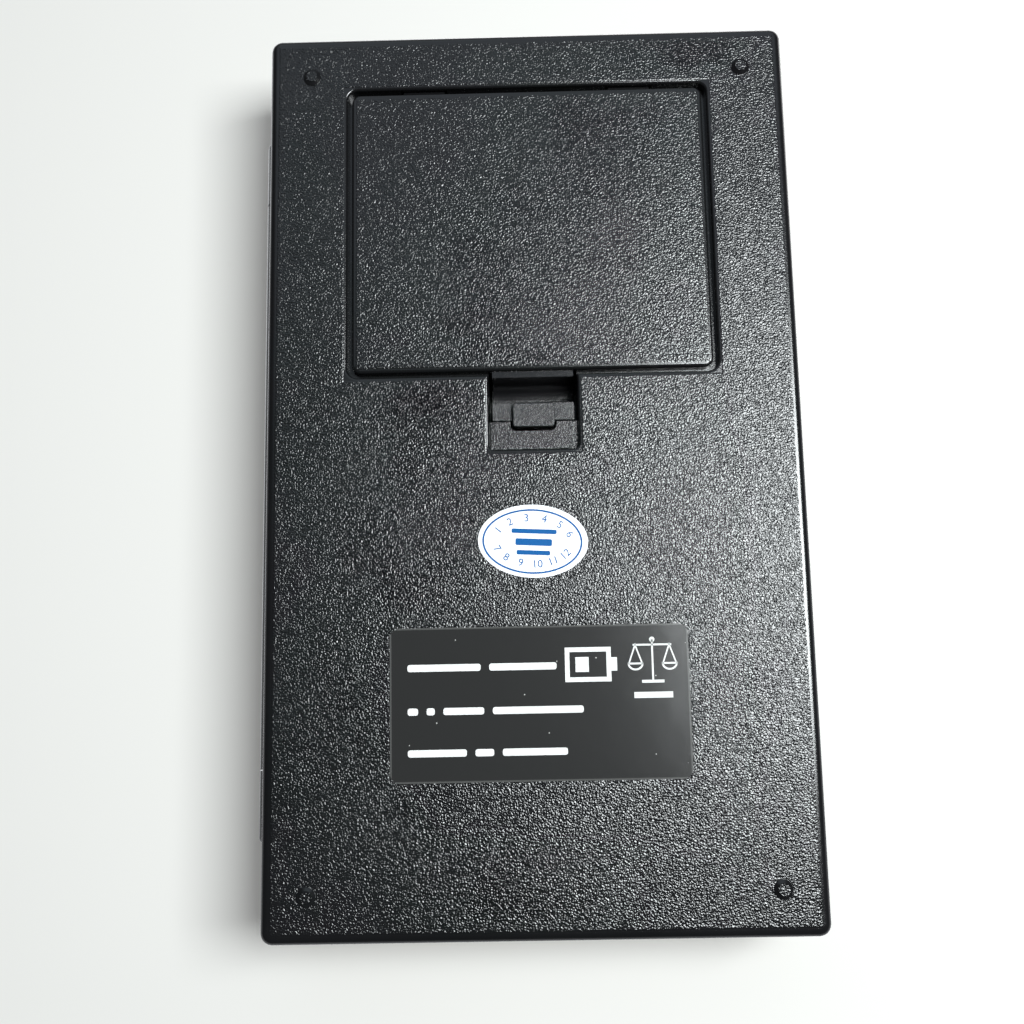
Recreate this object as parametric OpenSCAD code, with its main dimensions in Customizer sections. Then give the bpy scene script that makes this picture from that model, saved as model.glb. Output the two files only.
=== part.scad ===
// Pocket scale with a hinged flip cover, resting on four moulded feet.
// Front (the keys and display) is towards -Y, the cover's hinge is on the -X side, up is +Z.

/* [Case] */
// Width of the case without the hinge barrel
body_w = 75; // [74:1:80]
// Length of the case, front to back
body_l = 128; // [126:1:136]
// Closed height on its feet
total_h = 20; // [20:0.5:22]
// Plan radius of the case's corners
corner_r = 1.6; // [1.4:0.1:3]
// Radius of the rounded edge around the underside and the cover's top
edge_r = 1.2; // [0.8:0.1:1.3]
// Wall thickness of the case and the cover
wall = 1.6; // [1.4:0.1:1.8]

/* [Feet] */
// Height of the moulded feet
foot_h = 0.5; // [0.3:0.1:0.6]
// Radius of a foot where it meets the case
foot_base_r = 1.4; // [1.2:0.1:1.5]
// Radius of a foot's flat end
foot_tip_r = 0.78; // [0.6:0.02:0.9]
// Distance of a foot's centre from the two nearest sides
foot_inset = 6.2; // [5:0.1:8]

/* [Battery door] */
// Width of the recess that holds the door
bay_w = 52.3; // [52:0.1:53]
// Length of that recess
bay_l = 43.3; // [43:0.1:44]
// Distance from the front end to the recess
bay_front = 8.4; // [8:0.1:9]
// Gap between the door and the recess
door_gap = 0.65; // [0.5:0.05:0.8]

/* [Cover hinge] */
// Radius of the hinge barrel
barrel_r = 2; // [1.9:0.05:2.1]
// Distance of the hinge axis outside the case's side
axis_out = 0.3; // [0.3:0.05:0.4]
// Length of the cover's middle barrel
mid_barrel_l = 83.8; // [80:0.2:86]
// Length of each end knuckle on the case
knuckle_l = 10; // [9:0.5:11]
// Radius of a hinge pin
pin_r = 0.75; // [0.7:0.05:0.8]

/* [Keys] */
// Spacing of the keys
key_pitch = 12.5; // [12:0.5:12.5]
// Width of a key cap
key_w = 9.5; // [9:0.1:10]
// Length of a key cap
key_l = 7; // [6.5:0.1:7.5]

/* [Platform] */
// Width of the weighing platform
platform_w = 66; // [64:1:66]
// Length of the weighing platform
platform_l = 63; // [60:1:63]

/* [Labels] */
// Width of the rating label
label_w = 40.4; // [38:0.2:42]
// Length of the rating label
label_l = 20.6; // [20:0.2:21]
// Long axis of the oval sticker
sticker_w = 15.1; // [14:0.1:16]
// Short axis of the oval sticker
sticker_l = 10.1; // [9:0.1:11]

/* [Hidden] */
$fn = 64;
eps = 0.01;

// The barrel stands proud on one side only, so the case is shifted to centre the whole part.
barrel_proud = axis_out + barrel_r;
shift_x = barrel_proud / 2;

half_w = body_w / 2;
half_l = body_l / 2;
under_z = foot_h;
split_z = total_h / 2;
split_gap = 0.1;
knuckle_gap = 0.2;
knuckle_round = 0.8;
rim_z = split_z - split_gap;
lid_z = split_z + split_gap;
axis_x = -half_w - axis_out;
relief_r = barrel_r + 0.3;
floor_z = under_z + wall;

// The deck stands up inside the cover.
deck_z = total_h - wall - 1.2;
deck_t = 1.4;
deck_under_z = deck_z - deck_t;
deck_gap = 0.8;
deck_half_w = half_w - wall - deck_gap;
deck_half_l = half_l - wall - deck_gap;
deck_wall = 1.2;
flange_gap = 0.15;
flange_half_w = half_w - wall - flange_gap;
flange_half_l = half_l - wall - flange_gap;
flange_h = 1.6;
ledge_z = rim_z - flange_h;
ledge_w = 0.6;

panel_inset = 7;
panel_d = 0.25;
scoop_r = 12;
scoop_d = 0.9;
scoop_h = 4.4;

// Battery bay.
bay_y0 = -half_l + bay_front;
bay_y1 = bay_y0 + bay_l;
bay_half_w = bay_w / 2;
bay_r = 1.5;
lip_r = 0.4;
cell_r = 5.25;
cell_l = 44.5;
cell_z = floor_z + 0.15 + cell_r;
well_in = 0.9;
well_half_w = bay_half_w - well_in;
well_y0 = bay_y0 + well_in;
well_y1 = bay_y1 - well_in;
cell_y1 = well_y0 + 0.35 + cell_r;
cell_y2 = cell_y1 + 2 * cell_r + 0.4;
cells_end = cell_y2 + cell_r + 0.35;
well_wall = 1.2;
roof_z = cell_z + cell_r + 0.1;
roof_t = 0.8;
shallow_z = 5;
plate_tab_z = 11;
door_t = 1.4;
door_z = under_z + 0.05;
door_top = door_z + door_t;
shelf_z = door_top + 0.1;

// The door's hinge tabs and their slots.
tab_x = 15;
tab_half_w = 3;
tab_reach = 0.8;
tab_root = 2;
tab_face = 1.05;
tab_t = 0.75;
slot_slack = 0.4;

// Cells, springs and contacts.
fit_gap = 0.05;
contact_t = 0.4;
contact_x = well_half_w - contact_t;
contact_half_l = 4.6;
contact_below = 4.2;
cell_x = contact_x - fit_gap - cell_l / 2;
spring_turns = 4;
spring_l = contact_x - (cell_l - contact_x + fit_gap) - 2 * fit_gap;
spring_wire = 0.3;

// Latch pocket.
pocket_half_w = 6.25;
pocket_y1 = bay_y1 + 10.75;
pocket_d = 0.8;
catch_y = bay_y1 + 6.65;
catch_t = 1;
notch_half_w = 3.25;
notch_y = catch_y + 1.3;
latch_half_w = 5.7;
latch_gap = 0.25;
strip_t = 0.9;
bend_in_r = 1.85;
leg_y = bay_y1 - door_gap;
bend_y = leg_y + strip_t + bend_in_r;
bend_z = 5;
latch_roof_z = 9;

// Underside marks.
label_y = 33.2;
label_t = 0.12;
sticker_y = 11.3;
sticker_x = -0.45;
sticker_tilt = 3;
label_recess = 0.1;
label_r = 1.4;
sticker_t = 0.08;

// Screws.
case_screw_x = 15.5;
case_screw_y = 26.2;
screw_head_r = 2;
screw_head_h = 1.3;
screw_shank_r = 1;
screw_seat_z = 4;
boss_r = 3.1;
boss_top_z = 7.9;

// Display, keys and boards.
lcd_y = -20.5;
window_w = 50;
window_l = 19;
window_t = 1;
lcd_w = 50;
lcd_l = 19.4;
board_z = 10.4;
board_t = 1;
board_half_w = 31;
board_end_y = -9.4;
backlight_z = board_z + board_t + 0.1;
backlight_t = 2;
lcd_z = backlight_z + backlight_t;
lcd_t = 1.8;
key_count = 5;
key_y = -46;
key_board_z = roof_z + roof_t + 0.1;
key_board_t = 0.8;
key_board_half_l = 9.5;
dome_h = 0.2;
key_top_z = deck_z + 0.5;
key_travel = 0.35;
key_foot_z = key_board_z + key_board_t + dome_h + key_travel + 0.03;
key_flange_z = deck_under_z - 0.6;
key_flange_t = 0.55;
key_slack = 0.2;
board_screw_x = 28.6;
board_screw_y = 8;
board_screw_r = 0.7;
key_screw_x = 29;
key_screw_y = 7.6;

// Weighing platform and load cell.
plat_y = 26.5;
plat_top_z = deck_z + 0.5;
plat_t = 0.5;
plat_skirt = 1.7;
plat_r = 3;
well_gap = 0.6;
well_floor_z = 14.2;
well_floor_t = 1.2;
beam_l = 47;
beam_w = 12;
beam_h = 6;
beam_x0 = -23.5;
beam_y = 36;
beam_z = 5.6;
beam_hole_in = 4;
beam_hole_pitch = 7;
support_t = 1.5;
tape_t = 0.15;
support_z = plat_top_z - plat_t - tape_t - support_t;
post_l = 13;
m3_r = 1.5;

// ---------- shared shapes ----------

// Flat rectangle with rounded corners, centred.
module round_rect(w, l, r) {
    square([w - 2 * r, l], center = true);
    square([w, l - 2 * r], center = true);
    for (x = [-1, 1], y = [-1, 1]) {
        translate([x * (w / 2 - r), y * (l / 2 - r)]) circle(r);
    }
}

// Section of a bar of half width a and height h, with its two lower edges rounded.
module edge_profile(a, h, r) {
    translate([-a, r]) square([2 * a, h - r]);
    translate([-a + r, 0]) square([2 * (a - r), h]);
    for (s = [-1, 1]) {
        translate([s * (a - r), r]) circle(r);
    }
}

// Half section of a corner post with its lower edge rounded.
module corner_section(cr, r, h) {
    square([cr - r, h]);
    translate([0, r]) square([cr, h - r]);
    intersection() {
        translate([cr - r, r]) circle(r);
        square([cr, h]);
    }
}

// Block with rounded upright corners and a rounded lower edge, standing on z = 0.
module soft_block(w, l, h, cr, r) {
    rotate([90, 0, 0]) {
        translate([0, 0, -l / 2 + cr]) linear_extrude(l - 2 * cr) edge_profile(w / 2, h, r);
    }
    rotate([90, 0, 90]) {
        translate([0, 0, -w / 2 + cr]) linear_extrude(w - 2 * cr) edge_profile(l / 2, h, r);
    }
    for (x = [-1, 1], y = [-1, 1]) {
        translate([x * (w / 2 - cr), y * (l / 2 - cr), 0]) {
            rotate_extrude() corner_section(cr, r, h);
        }
    }
}

// Corner of material left over when a sharp edge is rounded off to radius r.
module lip_section(r) {
    difference() {
        translate([-r, -1]) square([2 * r, r + 1]);
        translate([r, r]) circle(r);
        translate([r, -2]) square([1, 3]);
    }
}

// Cutter that rounds off the edge of a recess w by l, whose mouth is at z = 0 and faces down.
module lip_cut(w, l, cr, r) {
    for (a = [0, 180]) {
        rotate(a) translate([w / 2, l / 2 - cr, 0]) rotate([90, 0, 0]) {
            linear_extrude(l - 2 * cr) lip_section(r);
        }
        rotate(a) translate([w / 2 - cr, l / 2, 0]) rotate([90, 0, -90]) mirror([1, 0, 0]) {
            linear_extrude(w - 2 * cr) lip_section(r);
        }
    }
    for (x = [0, 1], y = [0, 1]) {
        mirror([x, 0, 0]) mirror([0, y, 0]) translate([w / 2 - cr, l / 2 - cr, 0]) {
            rotate_extrude(angle = 90) translate([cr, 0]) lip_section(r);
        }
    }
}

// Rounded plate between two heights.
module plate(w, l, r, z0, z1) {
    translate([0, 0, z0]) linear_extrude(z1 - z0) round_rect(w, l, r);
}

// Box from its two corners.
module span(x0, x1, y0, y1, z0, z1) {
    translate([x0, y0, z0]) cube([x1 - x0, y1 - y0, z1 - z0]);
}

// Upright cylinder between two heights.
module post(x, y, r, z0, z1) {
    translate([x, y, z0]) cylinder(r = r, h = z1 - z0);
}

// Cylinder along the hinge axis.
module axis_rod(r, y0, y1) {
    translate([axis_x, y0, split_z]) rotate([-90, 0, 0]) cylinder(r = r, h = y1 - y0);
}

// Hinge knuckle whose outer end is rounded; side is -1 at the front and 1 at the back.
module end_knuckle(side) {
    y0 = mid_barrel_l / 2 + knuckle_gap;
    translate([axis_x, 0, split_z]) rotate([side > 0 ? -90 : 90, 0, 0]) {
        translate([0, 0, y0]) rotate_extrude() {
            square([barrel_r, knuckle_l - knuckle_round]);
            square([barrel_r - knuckle_round, knuckle_l]);
            translate([barrel_r - knuckle_round, knuckle_l - knuckle_round]) {
                circle(knuckle_round);
            }
        }
    }
}

// Screw with a domed head; its seat is at z = 0 and its shank runs up.
module screw_up(head_r, head_h, shank_r, shank_l) {
    difference() {
        union() {
            translate([0, 0, -head_h]) cylinder(r = head_r, h = head_h);
            cylinder(r = shank_r, h = shank_l);
        }
        for (a = [0, 90]) {
            rotate(a) translate([-head_r * 0.6, -0.25, -head_h - eps]) {
                cube([head_r * 1.2, 0.5, head_h * 0.5]);
            }
        }
    }
}

module case_screw_places() {
    for (x = [-case_screw_x, case_screw_x]) {
        translate([x, case_screw_y, 0]) children();
    }
    translate([sticker_x, sticker_y, 0]) children();
}

module foot(x, y) {
    translate([x, y, 0]) rotate_extrude() {
        polygon([[0, 0], [foot_tip_r, 0], [foot_base_r - 0.15, foot_h * 0.75],
            [foot_base_r, foot_h + 0.2], [0, foot_h + 0.2]]);
    }
}

// ---------- case ----------

module bottom_shell() {
    difference() {
        translate([0, 0, under_z]) {
            soft_block(body_w, body_l, rim_z - under_z, corner_r, edge_r);
        }
        plate(2 * (half_w - wall - ledge_w), 2 * (half_l - wall - ledge_w), 1, floor_z, rim_z + 1);
        plate(2 * (half_w - wall), 2 * (half_l - wall), 1, ledge_z, rim_z + 1);
    }
}

// Walls and roof around the cells, the shallow end of the bay and the latch.
module bay_walls() {
    w = well_half_w + well_wall;
    span(-w, w, well_y0 - well_wall, cells_end + well_wall, floor_z - 0.2, roof_z + roof_t);
    span(-w, w, cells_end, well_y1 + well_wall, floor_z - 0.2, shallow_z + well_wall);
    span(-pocket_half_w - 1, pocket_half_w + 1, well_y1 - 1, notch_y + 2, floor_z - 0.2,
        latch_roof_z + 1);
}

module bay_cuts() {
    // Door recess through the floor, with its softened lip.
    translate([0, (bay_y0 + bay_y1) / 2, 0]) {
        plate(bay_w, bay_l, bay_r, 0, shelf_z);
        translate([0, 0, under_z]) lip_cut(bay_w, bay_l, bay_r, lip_r);
    }
    // Space for the two cells, and the shallow end beside them.
    span(-well_half_w, well_half_w, well_y0, cells_end, 1, roof_z);
    span(-well_half_w, well_half_w, well_y0, well_y1, 1, shallow_z);
    // Slots in the side wall for the contact plates' tabs.
    for (y = [cell_y1, cell_y2]) {
        span(well_half_w - 0.5, well_half_w + well_wall + 0.5, y - 1.4, y + 1.4,
            plate_tab_z - 0.2, plate_tab_z + contact_t + 0.2);
    }
    // Slots in the front shelf and wall for the door's tabs.
    for (x = [-tab_x, tab_x]) {
        span(x - tab_half_w - slot_slack, x + tab_half_w + slot_slack, bay_y0 - tab_reach - 0.5,
            bay_y0 + tab_root, under_z + 0.65, shallow_z);
    }
}

module pocket_cuts() {
    y0 = bay_y1 - 1;
    // Pocket in the underside, down to the catch plate.
    translate([0, (y0 + pocket_y1) / 2, 0]) {
        plate(2 * pocket_half_w, pocket_y1 - y0, 0.8, -1, under_z + pocket_d);
        translate([0, 0, under_z]) lip_cut(2 * pocket_half_w, pocket_y1 - y0, 0.8, lip_r - 0.05);
    }
    // Space for the sprung strip behind the door.
    span(-pocket_half_w, pocket_half_w, y0, catch_y, 0, latch_roof_z);
    span(-pocket_half_w, pocket_half_w, y0, notch_y + 1, under_z + pocket_d + catch_t,
        latch_roof_z);
    // Notch for the finger tab.
    translate([0, notch_y - 2, 0]) {
        plate(2 * notch_half_w, 4, 0.8, 0, latch_roof_z);
    }
}

module bottom_case() {
    color([0.07, 0.07, 0.08]) placed() difference() {
        union() {
            difference() {
                union() {
                    bottom_shell();
                    bay_walls();
                }
                bay_cuts();
                pocket_cuts();
            }
            case_screw_places() post(0, 0, boss_r, floor_z - 0.2, boss_top_z);
            // Block under the fixed end of the load cell.
            span(beam_x0, beam_x0 + post_l, beam_y - beam_w / 2, beam_y + beam_w / 2,
                floor_z - 0.2, beam_z);
            for (s = [-1, 1]) end_knuckle(s);
            for (s = [-1, 1]) knuckle_root(s);
            for (x = [-1, 1], y = [-1, 1]) {
                foot(x * (half_w - foot_inset), y * (half_l - foot_inset));
            }
        }
        // Room for the cover's barrel.
        axis_rod(relief_r, -mid_barrel_l / 2 - knuckle_gap, mid_barrel_l / 2 + knuckle_gap);
        // Bores for the pins.
        for (s = [-1, 1]) {
            y0 = s > 0 ? mid_barrel_l / 2 : -mid_barrel_l / 2 - knuckle_l - 1;
            axis_rod(pin_r, y0, y0 + knuckle_l + 1);
        }
        case_screw_places() {
            post(0, 0, screw_head_r + 0.2, 0, screw_seat_z);
            post(0, 0, screw_shank_r + 0.15, 0, boss_top_z + 1);
        }
        // Pilot holes for the load cell's screws.
        for (i = [0, 1]) {
            post(beam_x0 + beam_hole_in + i * beam_hole_pitch, beam_y, m3_r, floor_z, beam_z + 1);
        }
        thumb_scoop();
        // Shallow seat of the rating label.
        translate([0, label_y, 0]) {
            plate(label_w + 0.3, label_l + 0.3, label_r + 0.15, 0, under_z + label_recess);
        }
    }
}

// Solid root that joins an end knuckle to the case's side.
module knuckle_root(side) {
    y0 = mid_barrel_l / 2 + knuckle_gap;
    l = knuckle_l - knuckle_round;
    a = side > 0 ? y0 : -y0 - l;
    span(axis_x, -half_w + wall, a, a + l, split_z - barrel_r, rim_z);
}

module top_case() {
    color([0.09, 0.09, 0.1]) placed() difference() {
        union() {
            difference() {
                union() {
                    plate(2 * deck_half_w, 2 * deck_half_l, 2, ledge_z, deck_z);
                    plate(2 * flange_half_w, 2 * flange_half_l, 1, ledge_z, rim_z);
                }
                plate(2 * (deck_half_w - deck_wall), 2 * (deck_half_l - deck_wall), 1,
                    ledge_z - 1, deck_under_z);
            }
            // Well under the platform.
            translate([0, plat_y, 0]) {
                plate(platform_w + 2 * well_gap + 2, platform_l + 2 * well_gap + 2, plat_r + 1,
                    well_floor_z - well_floor_t, deck_z);
            }
            case_screw_places() post(0, 0, boss_r, boss_top_z, well_floor_z - 0.2);
            board_posts();
        }
        translate([0, plat_y, 0]) {
            plate(platform_w + 2 * well_gap, platform_l + 2 * well_gap, plat_r + well_gap,
                well_floor_z, deck_z + 1);
        }
        // Opening for the support's post.
        span(beam_x0 + beam_l - post_l - 1.5, beam_x0 + beam_l + 1.5, beam_y - beam_w / 2 - 1.5,
            beam_y + beam_w / 2 + 1.5, 0, deck_z);
        // Display opening with a shelf for the window.
        translate([0, lcd_y, 0]) {
            plate(window_w, window_l, 1.5, deck_z - window_t, deck_z + 1);
            plate(window_w - 2.4, window_l - 2.4, 1, deck_under_z - 1, deck_z);
        }
        for (i = [0 : key_count - 1]) {
            translate([key_x(i), key_y, 0]) {
                plate(key_w + 2 * key_slack, key_l + 2 * key_slack, 1.2, deck_under_z - 1,
                    deck_z + 1);
            }
        }
        case_screw_places() post(0, 0, screw_shank_r - 0.1, boss_top_z - 1, 12.5);
        main_screw_places() post(0, 0, board_screw_r, 0, board_z + 4.2);
        key_screw_places() post(0, 0, board_screw_r, 0, key_board_z + 2.7);
        axis_rod(relief_r, -mid_barrel_l / 2 - 0.5, mid_barrel_l / 2 + 0.5);
        for (s = [-1, 1]) {
            y0 = s > 0 ? mid_barrel_l / 2 : -mid_barrel_l / 2 - knuckle_l - 0.6;
            axis_rod(relief_r, y0, y0 + knuckle_l + 0.6);
        }
    }
}

module main_screw_places() {
    for (x = [-1, 1], y = [-1, 1]) {
        translate([x * board_screw_x, lcd_y + y * board_screw_y, 0]) children();
    }
}

module key_screw_places() {
    for (x = [-1, 1], y = [-1, 1]) {
        translate([x * key_screw_x, key_y + y * key_screw_y, 0]) children();
    }
}

module board_posts() {
    main_screw_places() post(0, 0, 2, board_z + board_t + eps, deck_under_z + 0.2);
    key_screw_places() post(0, 0, 1.6, key_board_z + key_board_t + eps, deck_under_z + 0.2);
}

// ---------- cover and hinge ----------

module lid() {
    color([0.07, 0.07, 0.08]) placed() difference() {
        union() {
            difference() {
                translate([0, 0, total_h]) mirror([0, 0, 1]) {
                    soft_block(body_w, body_l, total_h - lid_z, corner_r, edge_r);
                }
                plate(2 * (half_w - wall), 2 * (half_l - wall), 1, 0, total_h - wall);
                for (s = [-1, 1]) {
                    y0 = mid_barrel_l / 2;
                    a = s > 0 ? y0 : -y0 - knuckle_l - 0.5;
                    axis_rod(relief_r, a, a + knuckle_l + 0.5);
                }
            }
            axis_rod(barrel_r, -mid_barrel_l / 2, mid_barrel_l / 2);
            span(axis_x, -half_w + wall, -mid_barrel_l / 2, mid_barrel_l / 2, lid_z,
                split_z + barrel_r);
        }
        for (s = [-1, 1]) {
            y0 = s > 0 ? mid_barrel_l / 2 - knuckle_l - 0.5 : -mid_barrel_l / 2 - 1;
            axis_rod(pin_r + 0.05, y0, y0 + knuckle_l + 1.5);
        }
        thumb_scoop();
        // Shallow panel in the top.
        plate(body_w - 2 * panel_inset, body_l - 2 * panel_inset, 4, total_h - panel_d, total_h + 1);
    }
}

// Thumb scoop in the opening side, shared by the cover and the case.
module thumb_scoop() {
    translate([half_w + scoop_r - scoop_d, 0, split_z]) {
        cylinder(r = scoop_r, h = scoop_h, center = true);
    }
}

module hinge_pins() {
    color("silver") placed() {
        for (s = [-1, 1]) {
            y0 = s > 0 ? mid_barrel_l / 2 - knuckle_l + 0.5 : -mid_barrel_l / 2 - knuckle_l + 0.3;
            axis_rod(pin_r, y0, y0 + 2 * knuckle_l - 0.8);
        }
    }
}

// ---------- battery door ----------

module battery_door() {
    w = bay_w - 2 * door_gap;
    l = bay_l - 2 * door_gap;
    color([0.07, 0.07, 0.08]) placed() union() {
        translate([0, (bay_y0 + bay_y1) / 2, door_z]) soft_block(w, l, door_t, 1.3, 0.45);
        for (x = [-tab_x, tab_x]) {
            span(x - tab_half_w, x + tab_half_w, bay_y0 - tab_reach, bay_y0 + tab_root,
                door_z + tab_face, door_z + tab_face + tab_t);
        }
        // Fixed leg and first half of the latch's bend.
        span(-latch_half_w, latch_half_w, leg_y - 1, leg_y + strip_t, door_z + 0.6, door_top);
        span(-latch_half_w, latch_half_w, leg_y, leg_y + strip_t, door_z + 0.6, bend_z);
        bend_half(-1);
    }
}

// Half of the bent strip; side -1 is the half next to the door.
module bend_half(side) {
    cut = 0.03;
    translate([-latch_half_w, bend_y, bend_z]) rotate([0, 90, 0]) {
        intersection() {
            difference() {
                cylinder(r = bend_in_r + strip_t, h = 2 * latch_half_w);
                translate([0, 0, -1]) cylinder(r = bend_in_r, h = 2 * latch_half_w + 2);
            }
            translate([-8, side > 0 ? cut : -8, -1]) cube([8, 8 - cut, 2 * latch_half_w + 2]);
        }
    }
}

module door_latch() {
    leg2_y = bend_y + bend_in_r;
    shoulder_z = under_z + pocket_d + 0.05;
    color([0.08, 0.08, 0.09]) placed() union() {
        bend_half(1);
        span(-latch_half_w, latch_half_w, leg2_y, leg2_y + strip_t, shoulder_z + 0.2, bend_z);
        // Shoulders that meet the catch plate.
        span(-latch_half_w, latch_half_w, leg2_y, catch_y - latch_gap, shoulder_z,
            shoulder_z + 1.2);
        // Finger tab.
        translate([0, (leg2_y + notch_y) / 2 - 0.22, under_z + 0.25]) {
            soft_block(6, notch_y - leg2_y - 0.45, 1.5, 0.6, 0.25);
        }
    }
}

// ---------- cells and contacts ----------

module cell() {
    cap_l = 1;
    rotate([0, 90, 0]) rotate_extrude() {
        polygon([[0, -cell_l / 2 + 0.3], [3.4, -cell_l / 2 + 0.3], [3.6, -cell_l / 2],
            [cell_r - 0.4, -cell_l / 2], [cell_r, -cell_l / 2 + 0.4],
            [cell_r, cell_l / 2 - cap_l - 0.5], [cell_r - 0.5, cell_l / 2 - cap_l],
            [1.9, cell_l / 2 - cap_l], [1.9, cell_l / 2 - 0.15], [1.75, cell_l / 2], [0, cell_l / 2]]);
    }
}

module battery_1() {
    color("goldenrod") placed() translate([cell_x, cell_y1, cell_z]) cell();
}

module battery_2() {
    color("goldenrod") placed() translate([-cell_x, cell_y2, cell_z]) rotate(180) cell();
}

// Point on a conical coil of the given free length, at share t from 0 to 1.
function spring_r(t) = 3.7 - 1.1 * t;
function coil_angle(t) = 360 * spring_turns * t;
function coil_x(t) = spring_wire + (spring_l - 2 * spring_wire) * max(0, min(1, (t - 0.15) / 0.75));
function wire_point(t, k) = [
    coil_x(t) + spring_wire * sin(60 * k),
    (spring_r(t) + spring_wire * cos(60 * k)) * cos(coil_angle(t)),
    (spring_r(t) + spring_wire * cos(60 * k)) * sin(coil_angle(t))];

module coil_spring() {
    rings = spring_turns * 14;
    sides = 6;
    points = [for (i = [0 : rings], k = [0 : sides - 1]) wire_point(i / rings, k)];
    skin = [for (i = [0 : rings - 1], k = [0 : sides - 1]) [
        i * sides + k, i * sides + (k + 1) % sides,
        (i + 1) * sides + (k + 1) % sides, (i + 1) * sides + k]];
    start = [[for (k = [sides - 1 : -1 : 0]) k]];
    end = [[for (k = [0 : sides - 1]) rings * sides + k]];
    polyhedron(points = points, faces = concat(skin, start, end), convexity = 8);
}

module battery_springs() {
    color("silver") placed() {
        translate([-contact_x, cell_y1, cell_z]) coil_spring();
        translate([contact_x, cell_y2, cell_z]) rotate(180) coil_spring();
    }
}

module contact_bridge() {
    color("silver") placed() {
        span(-well_half_w + eps, -contact_x - eps, cell_y1 - contact_half_l,
            cell_y2 + contact_half_l, cell_z - contact_below, cell_z + contact_half_l);
    }
}

module contact_plates() {
    color("silver") placed() {
        for (y = [cell_y1, cell_y2]) {
            span(contact_x + eps, well_half_w - eps, y - contact_half_l, y + contact_half_l,
                cell_z - contact_below, cell_z + contact_half_l);
            span(contact_x + eps, well_half_w + well_wall + 1.4, y - 1, y + 1, plate_tab_z,
                plate_tab_z + contact_t);
        }
    }
}

// ---------- labels ----------

module rating_label() {
    color([0.05, 0.05, 0.05]) placed() translate([0, label_y, 0]) {
        plate(label_w, label_l, label_r, under_z + label_recess - label_t,
            under_z + label_recess);
    }
}

module inspection_sticker() {
    color("white") placed() translate([sticker_x, sticker_y, under_z - sticker_t]) {
        rotate(sticker_tilt) linear_extrude(sticker_t) scale([sticker_w / sticker_l, 1]) {
            circle(sticker_l / 2);
        }
    }
}

// ---------- display and boards ----------

module display_window() {
    color([0.6, 0.7, 0.75, 0.5]) placed() translate([0, lcd_y, 0]) {
        plate(window_w - 0.2, window_l - 0.2, 1.4, deck_z - window_t + eps, deck_z);
    }
}

module lcd_glass() {
    color([0.6, 0.66, 0.6]) placed() translate([0, lcd_y, 0]) {
        plate(lcd_w, lcd_l, 0.3, lcd_z + eps, lcd_z + lcd_t);
    }
}

module lcd_backlight() {
    color([0.85, 0.9, 0.95]) placed() translate([0, lcd_y + 0.8, 0]) {
        plate(lcd_w - 1, lcd_l - 3.6, 0.5, backlight_z, backlight_z + backlight_t);
    }
}

module zebra_strip() {
    y0 = lcd_y - lcd_l / 2 + 0.2;
    color([0.5, 0.5, 0.55]) placed() {
        span(-lcd_w / 2 + 2, lcd_w / 2 - 2, y0, y0 + 1.6, board_z + board_t + eps, lcd_z);
    }
}

module main_board() {
    color([0.05, 0.3, 0.15]) placed() difference() {
        span(-board_half_w, board_half_w, cells_end + well_wall + 0.4, board_end_y, board_z,
            board_z + board_t);
        main_screw_places() post(0, 0, board_screw_r + 0.2, board_z - 1, board_z + 2);
    }
}

module key_board() {
    color([0.05, 0.3, 0.15]) placed() difference() {
        span(-board_half_w, board_half_w, key_y - key_board_half_l, key_y + key_board_half_l,
            key_board_z, key_board_z + key_board_t);
        key_screw_places() post(0, 0, board_screw_r + 0.2, key_board_z - 1, key_board_z + 2);
    }
}

function key_x(i) = (i - (key_count - 1) / 2) * key_pitch;

module snap_domes() {
    z = key_board_z + key_board_t;
    color("silver") placed() {
        for (i = [0 : key_count - 1]) {
            translate([key_x(i), key_y, z]) rotate_extrude() {
                polygon([[0, 0], [2.2, 0], [1.7, 0.7 * dome_h], [0.6, dome_h], [0, dome_h]]);
            }
        }
    }
}

module scale_chip() {
    color([0.03, 0.03, 0.03]) placed() translate([14, lcd_y, board_z]) {
        mirror([0, 0, 1]) intersection() {
            translate([0, 0, 1.6 - 12]) sphere(r = 12, $fn = 96);
            cylinder(r = 6, h = 3);
        }
    }
}

module board_screws() {
    color("silver") placed() {
        main_screw_places() translate([0, 0, board_z]) screw_up(1.6, 1, board_screw_r, 4);
        key_screw_places() translate([0, 0, key_board_z]) screw_up(1.5, 0.9, board_screw_r, 2.5);
    }
}

// Key cap with the flange that holds it under the deck.
module key_cap(i) {
    color([0.55, 0.56, 0.58]) placed() translate([key_x(i), key_y, 0]) {
        plate(key_w, key_l, 1, key_flange_z, key_top_z - 0.4);
        translate([0, 0, key_top_z]) mirror([0, 0, 1]) {
            soft_block(key_w, key_l, 1.5, 1, 0.4);
        }
        plate(key_w + 1.6, key_l + 1.6, 1.2, key_flange_z, key_flange_z + key_flange_t);
        post(0, 0, 1.2, key_foot_z, key_flange_z + 0.1);
    }
}

module key_power() { key_cap(0); }
module key_mode() { key_cap(1); }
module key_tare() { key_cap(2); }
module key_pieces() { key_cap(3); }
module key_light() { key_cap(4); }

// ---------- platform and load cell ----------

module weighing_platform() {
    color([0.8, 0.8, 0.82]) placed() translate([0, plat_y, 0]) difference() {
        translate([0, 0, plat_top_z]) mirror([0, 0, 1]) {
            soft_block(platform_w, platform_l, plat_skirt, plat_r, 0.6);
        }
        plate(platform_w - 2 * plat_t, platform_l - 2 * plat_t, plat_r - plat_t, 0,
            plat_top_z - plat_t);
    }
}

module platform_tape() {
    z = plat_top_z - plat_t - tape_t;
    color([0.9, 0.9, 0.85]) placed() translate([0, plat_y, 0]) {
        plate(40, 40, 2, z + eps, z + tape_t - eps);
    }
}

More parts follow.
